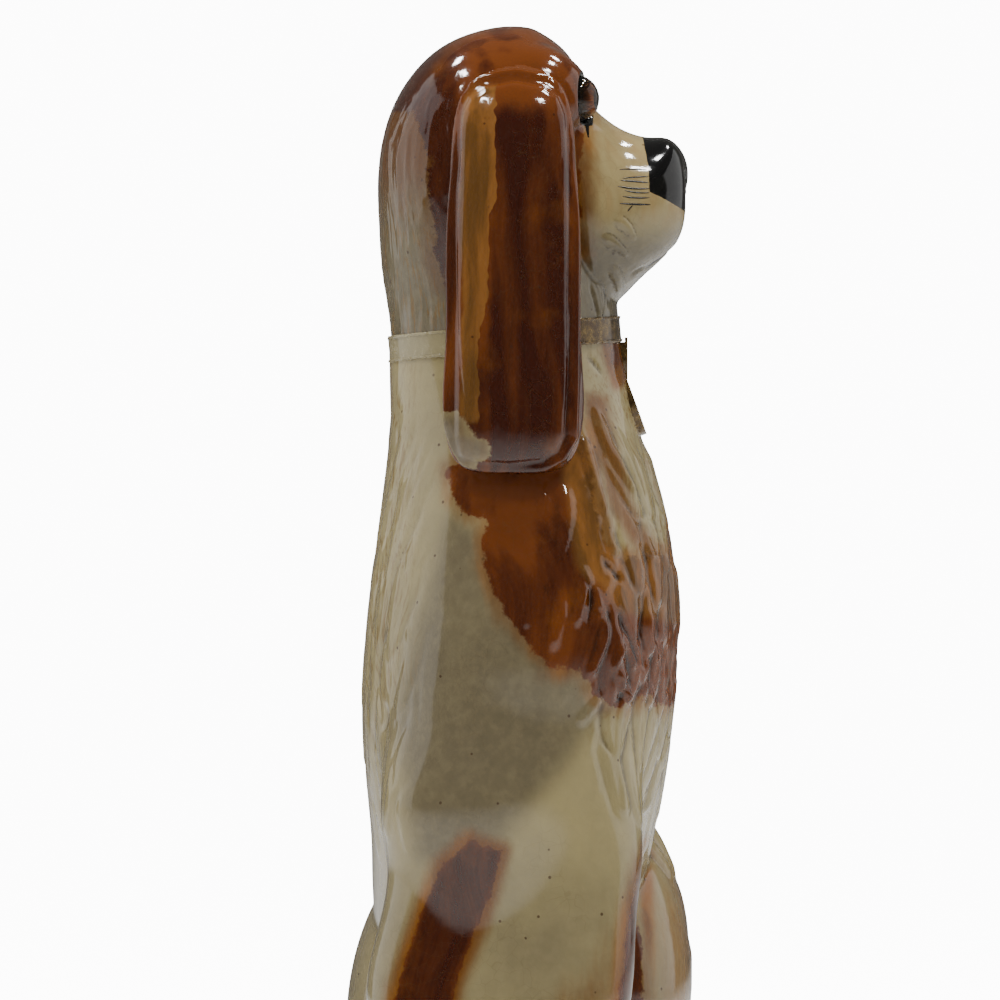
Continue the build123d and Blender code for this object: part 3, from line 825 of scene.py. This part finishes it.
CHEST_GROOVES = [
    ((584, 355), (596, 362), (604, 378), 5, 1.2), ((590, 577), (594, 600), (585, 628), 6, 1.4),
    ((600, 555), (610, 572), (624, 582), 7, 1.6), ((617, 603), (624, 636), (638, 668), 6, 1.8),
    ((548, 578), (544, 590), (549, 603), 5, 1.0), ((640, 604), (636, 640), (642, 676), 5, 1.4),
    ((655, 596), (657, 630), (656, 664), 4, 1.3), ((606, 600), (612, 628), (598, 660), 5, 1.2),
    ((618, 668), (622, 690), (632, 704), 4, 1.4),
]
FLANK_GROOVES = [
    ((388, 468), (380, 520), (374, 575), 5, 0.8), ((400, 470), (391, 540), (383, 600), 5, 0.6),
    ((376, 600), (367, 650), (373, 700), 5, 1.0), ((392, 610), (380, 655), (379, 692), 5, 1.0),
    ((385, 700), (393, 716), (381, 738), 4, 0.9), ((368, 780), (371, 800), (379, 815), 4, 0.9),
    ((440, 430), (410, 490), (392, 565), 3, 0.4), ((430, 430), (402, 480), (386, 540), 3, 0.4),
    ((447, 450), (425, 500), (404, 560), 3, 0.3),
]


def marks(rows, sign):
    """Strokes given as three places in the view, a width in picture columns and a height in millimetres."""
    return [(seen(*row[:3]), row[3] * VIEW_SCALE, sign * row[4]) for row in rows]


relief = locks(chest, to_chest, marks(CHEST_LOCKS, 1.0))
grooves = marks(CHEST_GROOVES, -0.8) + marks(FLANK_GROOVES, -0.7)
relief += locks(chest, ease(-normals[:, 0], 0.05, 0.3), grooves)
fringe = shaggy(-84, -20, 134, 236, 17, 11, -0.12, 1.2) + shaggy(-18, 30, 120, 196, 19, 12, 0.25, 0.9)
relief += locks(flank, to_display, fringe)
relief += locks(flank, to_display * 0.9, shaggy(24, 84, 30, 98, 18, 12, 0.35, 0.7))
relief += locks(flank, to_reverse, shaggy(-80, -10, 130, 235, 20, 12, 0.1, 0.6))
bare = 1 - ease(chest[:, 0], -14, -26) * 0.7 - ease(chest[:, 0], 26, 38) * 0.6
shoulder = ease(z, 112, 150) * (1 - to_chest * bare)
shoulder = np.clip(shoulder, 0, 1)
uneven = BODY_UNEVEN * (lattice(points, BODY_UNEVEN_PITCH) - 0.5)
relief += BODY_HAIR * shoulder * ridged(flow, BODY_HAIR_PITCH) + uneven
footing = ease(z, 1.0, 8.0)
points = points + normals * (relief * footing)[:, None]
points = fill(soften(points, quads, 2), quads, 2)
normals = facing(points, quads)
x, y, z = points.T
# Hollow depth: glaze pooled in the creases, and painted shade there.
glaze_pool_and_shade = hollows(points, quads, normals, 8, 1.8)

CHEST_PATCH = seen(
    (447, 468), (452, 498), (470, 514), (484, 520), (484, 560), (487, 575), (500, 600), (505, 615),
    (520, 632), (535, 650), (549, 662), (558, 668), (575, 663), (590, 690), (605, 704), (625, 706),
    (645, 692), (660, 708), (700, 700), (700, 600), (655, 584), (635, 566), (612, 560), (600, 530),
    (592, 500), (588, 470), (586, 440), (560, 430), (500, 440)
)
COLLAR_PATCH = seen(
    (575, 335), (600, 340), (640, 350), (640, 375), (622, 382), (608, 394), (598, 400), (588, 450),
    (578, 450)
)
THROAT = seen((609, 300), (680, 300), (680, 380), (626, 376), (614, 362))
OCHRE_WASH = seen(
    (588, 395), (604, 400), (612, 450), (625, 505), (650, 548), (676, 570), (676, 600), (630, 590),
    (600, 560), (584, 480)
)
LEG_STRIPE = seen(
    (470, 836), (502, 846), (490, 890), (476, 925), (455, 979), (440, 1060), (420, 1160), (370, 1160),
    (388, 1040), (398, 984), (411, 941), (425, 901), (444, 859)
)
LEG_EDGE = seen(
    (647, 845), (655, 845), (652, 900), (648, 1000), (648, 1100), (606, 1100), (616, 1000), (623, 940),
    (630, 898), (640, 865)
)
LEG_SPRAY = seen((556, 990), (590, 962), (612, 925), (626, 940), (626, 1060), (530, 1080), (540, 1010))
in_front = ease(x, 0, -25)
spray = depth_in(chest, LEG_SPRAY)
patch = np.maximum(depth_in(chest, CHEST_PATCH), depth_in(chest, THROAT))
throat_wash = depth_in(chest, COLLAR_PATCH)
on_chest = ease(-normals[:, 0], -0.15, 0.1) * in_front
tinted = painted(patch) * on_chest
stripe = np.maximum(depth_in(chest, LEG_STRIPE), depth_in(chest, LEG_EDGE))
tinted = np.maximum(tinted, painted(stripe, 3.0) * on_chest)
wash = depth_in(chest, OCHRE_WASH)
halo = np.maximum(0.55 * ease(patch, -7, 0), 0.75 * ease(wash, -4, 1) * ease(wash, 9, 3))
halo = np.maximum(halo, 0.95 * ease(stripe, -7, 1)) * on_chest
halo = np.maximum(halo, 0.45 * ease(spray, -9, 6) * on_chest)
halo = np.maximum(halo, 1.1 * ease(throat_wash, -4, 2) * on_chest * ease(x, -50, -42))
DISPLAY_PATCHES = [
    np.array(
        [
            (-110, 181), (-44, 184), (-26, 200), (-14, 222), (4, 224), (14, 204), (6, 178), (-8, 158),
            (-24, 146), (-40, 151), (-56, 140), (-72, 150), (-110, 148)
        ],
        float
    ),
    np.array(
        [(38, 104), (62, 112), (84, 96), (92, 70), (86, 46), (70, 42), (64, 60), (48, 72), (34, 84)],
        float
    ),
]
on_display = ease(-normals[:, 1], 0.0, 0.35)
for outline in DISPLAY_PATCHES:
    depth = depth_in(flank, outline)
    tinted = np.maximum(tinted, painted(depth) * on_display)
    halo = np.maximum(halo, 0.7 * ease(depth, -8, 0) * on_display)
tail_low, tail_high = corners("tail")
on_tail = ease(x, tail_low[0], tail_low[0] + 14) * ease(z, tail_high[2] + 6, tail_high[2] - 3)
on_tail *= ease(np.hypot(x - 50, y), 38, 46)
tinted = np.maximum(tinted, on_tail)
nape = ease(z, 205, 250) * ease(x, -20, 0)
tinted = np.maximum(tinted, 0.75 * nape)
halo = np.maximum(halo, nape)
back_halo = 0.55 * ease(x, 55, 85) * ease(z, 130, 90)
thigh = ease(x, -20, -8) * ease(-normals[:, 0], 0.1, 0.5) * ease(y, -34, -40) * ease(z, 112, 98)
halo = np.maximum(halo, thigh * (0.35 + 0.65 * ease(np.abs(y + 45), 2, 7)))
halo = np.maximum(halo, np.maximum(back_halo, 0.5 * ease(y, -30, -52) * ease(z, 110, 80)))
# A painted dark reflection in the glaze, low on the chest.
CHEST_DARK_REFLECTION = seen(
    (400, 720), (408, 800), (425, 850), (446, 858), (500, 830), (560, 765), (600, 705), (560, 640),
    (490, 540), (452, 520), (425, 600)
)
deep = np.maximum(ease(lattice(flow + 13, 7), 0.35, 0.65) * 0.55, 0.75 * ease(stripe, -2, 2) * on_chest)
# A little greyer all over, greyer in the painted dark reflection on the chest, and darker towards the bottom.
stain_and_shade_layer = 0.3 + 0.5 * ease(depth_in(chest, CHEST_DARK_REFLECTION), -6, 5) * on_chest + 0.2 * ease(z, 110, 60)
body_layers = {
    "paint": layer(tinted, halo, deep),
    "clay": layer(glaze_pool_and_shade, stain_and_shade_layer, 0.0),
    "tone": layer(0.75 * ease(wash, -13, -3) * on_chest, shoulder, shoulder),
    "flow": flow * MM,
}
in_front_piece = ["body_front_half", "left_foreleg", "tail"]
in_back_piece = ["body_back_half", "right_foreleg"]
split("glazed_body", points, quads, normals, body_layers, in_front_piece, in_back_piece)

# The ears: flat leaves with a raised rim, worked into long waves.
EAR_GRAIN = 0.55
EAR_HAIR, EAR_HAIR_PITCH = 0.12, 3.0
EAR_OUTLINE = seen(
    (446, 130), (448, 110), (458, 90), (480, 76), (515, 70), (550, 76), (570, 90), (580, 115), (581, 200),
    (580, 380), (578, 440), (566, 462), (545, 474), (510, 478), (475, 476), (447, 468), (441, 440),
    (443, 300)
)
THIN_EDGE = ([60, 190, 240, 300, 345, 440], [497, 495, 489, 488, 477, 480])
# A painted reflection of a softbox at the foot of the ear: greyer cream, with the russet left off.
EAR_CORNER_REFLECTION = seen(
    (430, 418), (458, 412), (466, 418), (470, 432), (488, 442), (492, 456), (474, 466), (440, 490),
    (420, 470)
)
EAR_WAVES = [
    ((468, 130), (462, 260), (470, 430), 24, 0.35), ((500, 130), (506, 260), (496, 440), 30, 0.4),
    ((540, 130), (530, 260), (538, 430), 34, 0.4), ((568, 130), (566, 260), (564, 420), 16, 0.3)
]


def ear(name, node, outward):
    """One ear: a rim that falls off with the distance from the leaf's outline, and waves down the leaf."""
    points, quads = outer_only(*skin([node], [], EAR_GRAIN))
    points = soften(points, quads, 4)
    normals = facing(points, quads)
    leaf = points[:, 1:]
    out = ease(normals[:, 0] * outward, 0.2, 0.6)
    rim = depth_in(leaf, EAR_OUTLINE)
    bead = 0.9 * np.exp(-(((rim - 1.4) / 0.8) ** 2))
    gutter = 0.8 * np.exp(-(((rim - 3.6) / 1.3) ** 2))
    relief = (bead - gutter) * out
    relief += locks(leaf, out, marks(EAR_WAVES, 1.0))
    flow = strands(points, 12.0, 5.0)
    relief += EAR_HAIR * ridged(flow, EAR_HAIR_PITCH) * out
    points = points + normals * relief[:, None]
    normals = facing(points, quads)
    # Hollow depth: glaze pooled in the creases, and painted shade there.
    glaze_pool_and_shade = hollows(points, quads, normals, 8, 2.0)
    wander = (lattice(points + 40, 9) - 0.5) * 5
    column = VIEW_COLUMN - leaf[:, 0] / VIEW_SCALE + wander + (lattice(points + 77, 2.5) - 0.5) * 5
    row = VIEW_ROW + (crown_height - leaf[:, 1]) / VIEW_SCALE
    inward = ease(column - np.interp(row, *THIN_EDGE), 1.5, -1.5)
    thin = ease(column, 448, 474) * inward * ease(row, 66, 110) * ease(row, 436, 410) * out
    # The painted reflection: no russet there, and the cream greyed.
    reflected_grey = painted(depth_in(leaf, EAR_CORNER_REFLECTION), 4.0) * out
    streaks = ease(lattice(flow, 4.0), 0.25, 0.7)
    dark = ease(column, 480, 494) * ease(column, 578, 566) * ease(row, 92, 128) * (0.55 + 0.4 * streaks)
    dark = np.maximum(dark, (0.25 + 0.4 * streaks) * ease(row, 90, 150))
    layers = {
        "paint": layer(1 - reflected_grey, 0.3, dark),
        "clay": layer(glaze_pool_and_shade, 0.9 * reflected_grey, 0.0),
        "tone": layer(thin, 0.0, 0.0),
        "flow": flow * MM,
    }
    piece(name, points, quads, normals, GLAZE, EARTHENWARE, [node], layers)


ear("glazed_right_ear", "right_ear", -1)
ear("glazed_left_ear", "left_ear", 1)

# Glass eyes, collar, locket and base.
GLASS_SKIN = 0.45
EYE_SIDES = 64
EYE_RINGS = 26
COLLAR_GRAIN = 0.5
COLLAR_WEAR = 1.0


def finish_node(node, material):
    """Give a piece that stays as the frame has it its material."""
    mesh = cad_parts[node].data
    mesh.materials.clear()
    mesh.materials.append(material)


def glass(name):
    """Clear glass over the painted eye."""
    material, tree = blank(name)
    place = put(tree, "TexCoord").outputs["Object"]
    colour = blend(tree, noise(tree, place, 600.0), tint("c79a68"), tint("b3834e"))
    surface(tree, {"Base Color": colour, "Roughness": 0.02, "IOR": 1.5, "Transmission Weight": 1.0})
    return material


def iris_enamel(name):
    """Enamel under the glass: black pupil, amber iris with fine rays that darkens outwards, black rim."""
    material, tree = blank(name)
    dial = put(tree, "Attribute", attribute_name="dial").outputs["Vector"]
    split_dial = put(tree, "SeparateXYZ", {0: dial}).outputs
    spread = put(tree, "VectorMath", {0: dial, 1: (0.6, 9.0, 9.0)}, operation="MULTIPLY").outputs[0]
    rays = noise(tree, spread, 1.6, 4.0, 0.6)
    amber = blend(tree, between(tree, rays, 0.35, 0.65), tint("8a4a12"), tint("eaa23a"))
    amber = blend(tree, between(tree, split_dial[0], 0.55, 0.88), amber, tint("3a1804"))
    # Darker towards the top of the iris: painted shade, as under the upper lid.
    amber = blend(tree, between(tree, split_dial[2], -0.6, 0.9, 0.0, 0.75), amber, tint("2a1204"))
    colour = blend(tree, between(tree, split_dial[0], 0.44, 0.48), tint("040404"), amber)
    colour = blend(tree, between(tree, split_dial[0], 0.86, 0.9), colour, tint("080504"))
    surface(tree, {"Base Color": colour, "Roughness": between(tree, rays, 0.3, 0.7, 0.25, 0.4)})
    return material


def eye_enamel(side):
    """The back of one glass eye: a cap turned about the eye's axis just under the glass, on a flat back."""
    places = {}
    for part in ("glass", "pupil"):
        flat = np.empty(len(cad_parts[f"{side}_eye_{part}"].data.vertices) * 3)
        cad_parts[f"{side}_eye_{part}"].data.vertices.foreach_get("co", flat)
        places[part] = flat.reshape(-1, 3) / MM
    centre = (places["pupil"].min(axis=0) + places["pupil"].max(axis=0)) / 2
    axis = np.linalg.svd(places["pupil"] - centre, full_matrices=False)[2][2]
    axis = axis * -np.sign(axis[1])
    right = np.cross(axis, (0, 0, 1))
    right /= np.linalg.norm(right)
    up = np.cross(right, axis)
    heights = (places["glass"] - centre) @ axis
    radii = np.hypot((places["glass"] - centre) @ right, (places["glass"] - centre) @ up)
    radius = radii.max() - GLASS_SKIN
    edge = heights[radii > radii.max() - 0.01].max()
    rise = heights.max() - edge
    ball = (radii.max() ** 2 + rise**2) / (2 * rise)
    reach = np.linspace(0.05, radius, EYE_RINGS)
    cap_heights = heights.max() - GLASS_SKIN - ball + np.sqrt(ball**2 - reach**2)
    reach = np.concatenate([reach, reach[:0:-6]])
    tall = np.concatenate([cap_heights, np.full(len(reach) - EYE_RINGS, heights.min() + GLASS_SKIN)])
    turn = np.linspace(0, 2 * pi, EYE_SIDES + 1)[:-1]
    rings = (centre + tall[:, None, None] * axis + reach[:, None, None] *
             (np.cos(turn)[:, None] * right + np.sin(turn)[:, None] * up)).reshape(-1, 3)
    points = np.concatenate([rings, [centre + tall[0] * axis, centre + tall[-1] * axis]])
    index = np.arange(len(rings)).reshape(len(reach), EYE_SIDES)
    after = np.roll(index, -1, axis=1)
    a, b, c, d = index[:-1], index[1:], after[1:], after[:-1]
    first, last = np.full(EYE_SIDES, len(rings)), np.full(EYE_SIDES, len(rings) + 1)
    triangles = np.concatenate(
        [
            np.stack([a, b, c], 2).reshape(-1, 3), np.stack([a, c, d], 2).reshape(-1, 3),
            np.stack([first, index[0], after[0]], 1), np.stack([last, after[-1], index[-1]], 1)
        ]
    )
    shares = np.repeat(reach / radii.max(), EYE_SIDES)
    dial = np.stack([shares, np.tile(np.cos(turn), len(reach)), np.tile(np.sin(turn), len(reach))], 1)
    dial = np.concatenate([dial, [[0, 0, 0], [0, 0, 0]]])
    hidden = [f"{side}_eye_pupil", f"{side}_eye_bed"]
    piece(f"{side}_eye_enamel", points, triangles, None, IRIS, "eye_pupil", hidden, {"dial": dial})


LENS = glass("clear eye glass")
IRIS = iris_enamel("enamelled iris")
for side in ("left", "right"):
    finish_node(side + "_eye_glass", LENS)
    eye_enamel(side)


def worn_collar():
    """The collar with its edges rounded over, sunk until it stands barely proud of the neck."""
    points, quads = outer_only(*skin(["collar"], [], COLLAR_GRAIN))
    points = soften(points, quads, 12)
    normals = facing(points, quads)
    outward = ease((normals[:, :2] * (points[:, :2] - (collar_low + collar_high)[:2] / 2)).sum(axis=1), 2, 12)
    points = points - normals * (COLLAR_WEAR * outward)[:, None]
    piece("collar_band", points, quads, facing(points, quads), GILT, "gilt_band", ["collar"], {})


worn_collar()
finish_node("locket", GILT)
finish_node("base_slab", CLAY)

# Studio floor, lights and camera, in metres.
FLOOR_RADIUS = 6.0
SWEEP_RADIUS = 1.5
WALL_FOOT, WALL_TOP = 2.0, 7.0
SHEET_SIDES = 96
SHEET_GLOW = 12.0


def stage_sheet():
    """A pale round floor: a profile of flat run, quarter round and wall, turned right round."""
    angle = np.linspace(0, pi / 2, 24)
    flat = np.linspace(0.01, FLOOR_RADIUS, 30)
    wall = np.linspace(WALL_FOOT, WALL_TOP, 8)
    sweep_out = FLOOR_RADIUS + SWEEP_RADIUS * np.sin(angle)[1:]
    outward = np.concatenate([flat, sweep_out, np.full(len(wall), FLOOR_RADIUS + SWEEP_RADIUS)])
    up = np.concatenate([np.zeros(len(flat)), SWEEP_RADIUS * (1 - np.cos(angle))[1:], wall])
    turn = np.linspace(0, 2 * pi, SHEET_SIDES + 1)[:-1]
    across = np.outer(outward, np.cos(turn))
    along = np.outer(outward, np.sin(turn))
    points = np.stack([across, along, np.outer(up, np.ones(SHEET_SIDES))], axis=2).reshape(-1, 3)
    index = np.arange(len(points)).reshape(len(outward), SHEET_SIDES)
    after = np.roll(index, -1, axis=1)
    quads = np.stack([index[:-1], index[1:], after[1:], after[:-1]], axis=2).reshape(-1, 4)
    mesh = bpy.data.meshes.new("studio sheet")
    mesh.from_pydata(points.tolist(), [], quads.tolist())
    mesh.polygons.foreach_set("use_smooth", np.ones(len(mesh.polygons), bool))
    paper = plain("studio paper", tint("f4f3f0"), tint("efeeea"), 3.0, 0.9, 0.02)
    tree = paper.node_tree
    shader = next(node for node in tree.nodes if node.type == "BSDF_PRINCIPLED")
    shader.inputs["Emission Color"].default_value = tint("ffffff")
    seen_directly = put(tree, "LightPath").outputs["Is Camera Ray"]
    tree.links.new(math(tree, "MULTIPLY", seen_directly, SHEET_GLOW), shader.inputs["Emission Strength"])
    mesh.materials.append(paper)
    obj = placed("studio_sheet", mesh)


stage_sheet()


def lamp(name, place, aim, size, power, mirrored=True):
    """A rectangular soft light that points at a place.

    One that isn't mirrored leaves no patch on the glaze.
    """
    data = bpy.data.lights.new(name, "AREA")
    data.shape = "RECTANGLE"
    data.size, data.size_y = size
    data.energy = power
    obj = placed(name, data)
    obj.location = place
    obj.rotation_euler = (Vector(aim) - Vector(place)).to_track_quat("-Z", "Y").to_euler()
    obj.visible_glossy = mirrored


MIDDLE = (-0.03, 0, 0.2)
PANEL_HEIGHT = 1.4
PANEL_SIZE = (0.17, 0.11)
PANEL_POWER = 5
lamp("soft left", (0.45, 2.0, 0.9), MIDDLE, (2.2, 2.0), 12)
lamp("soft right", (0.45, -2.0, 0.9), MIDDLE, (2.2, 2.0), 11)
lamp("soft fill", (-2.3, 0.3, 2.5), MIDDLE, (2.6, 1.6), 18, mirrored=False)
for row, y in enumerate((-0.56, 0.56)):
    for step, x in enumerate((0.5, 0.0, -0.5)):
        lamp(f"panel {row} {step}", (x, y, PANEL_HEIGHT), (x * 0.6, y * 0.6, 0), PANEL_SIZE, PANEL_POWER)

world = bpy.data.worlds.new("studio air")
bpy.context.scene.world = world
world.use_nodes = True
world.node_tree.nodes["Background"].inputs["Color"].default_value = tint("dcdcd8")
world.node_tree.nodes["Background"].inputs["Strength"].default_value = 0.18

VIEW_DISTANCE = 4.0
SILHOUETTE_X = -30
PICTURE = 1000
VIEW_WIDTH = PICTURE * VIEW_SCALE * MM
SENSOR = 36
data = bpy.data.cameras.new("view")
data.sensor_width = SENSOR
data.lens = SENSOR * VIEW_DISTANCE / VIEW_WIDTH
data.clip_end = 100
camera = placed("view", data)
aim_y = (VIEW_COLUMN - PICTURE / 2) * VIEW_SCALE
aim_z = crown_height - (PICTURE / 2 - VIEW_ROW) * VIEW_SCALE
camera.location = (SILHOUETTE_X * MM - VIEW_DISTANCE, aim_y * MM, aim_z * MM)
camera.rotation_euler = (pi / 2, 0, -pi / 2)
bpy.context.scene.camera = camera
